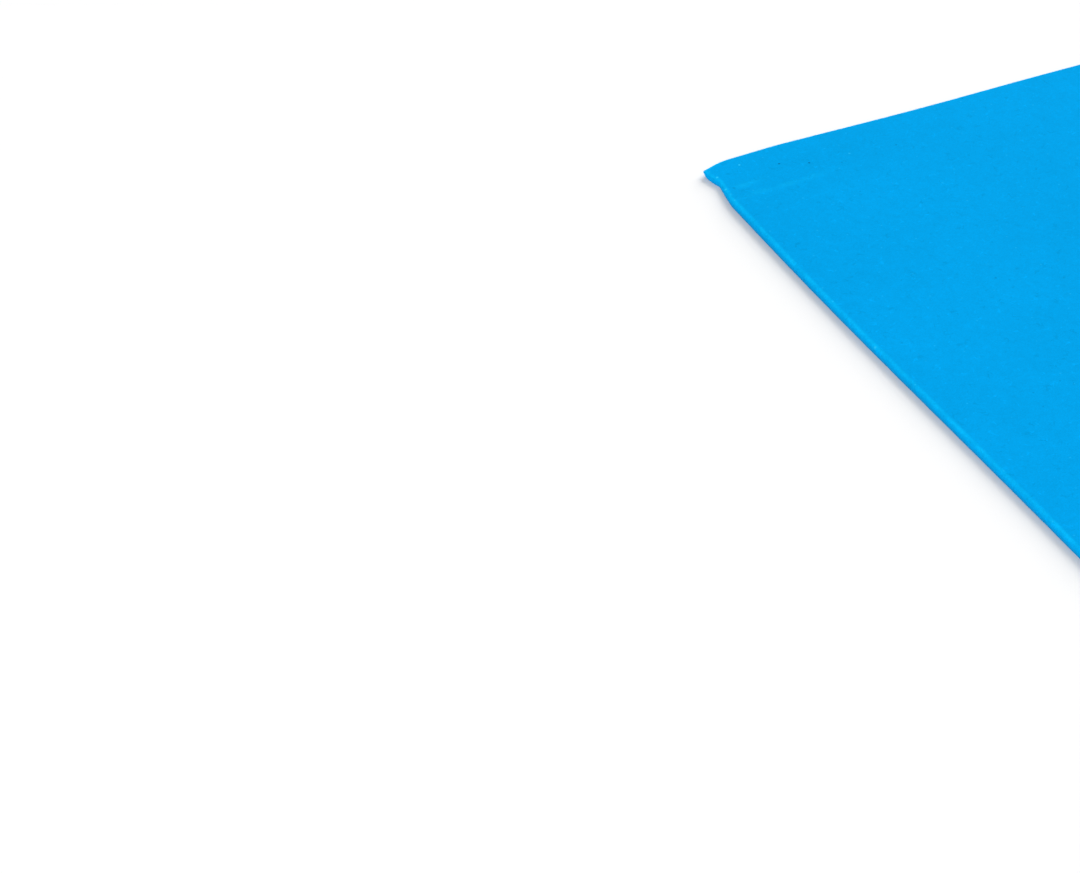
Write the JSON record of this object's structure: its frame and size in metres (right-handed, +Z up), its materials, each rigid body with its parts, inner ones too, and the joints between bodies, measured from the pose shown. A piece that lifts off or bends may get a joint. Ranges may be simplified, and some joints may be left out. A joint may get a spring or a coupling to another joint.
{
  "type": "craft foam sheet",
  "caption": "Thin flat rectangular sheet of blue closed-cell craft foam, die-cut, with softly rounded upper arrises and a worn corner, pressed thinner and nicked.",
  "frame": {"origin": "under the middle of the sheet, on the surface it lies on", "axes": "+X along the long sides, +Y along the short sides, +Z up through the thickness; the worn corner is at -X, -Y"},
  "size_m": [0.297, 0.21, 0.002],
  "materials": {
    "foam_blue": "matte fine closed-cell EVA foam, evenly dyed through"
  },
  "bodies": {
    "root": {"foam_sheet": "foam_blue"}
  },
  "joints": []
}
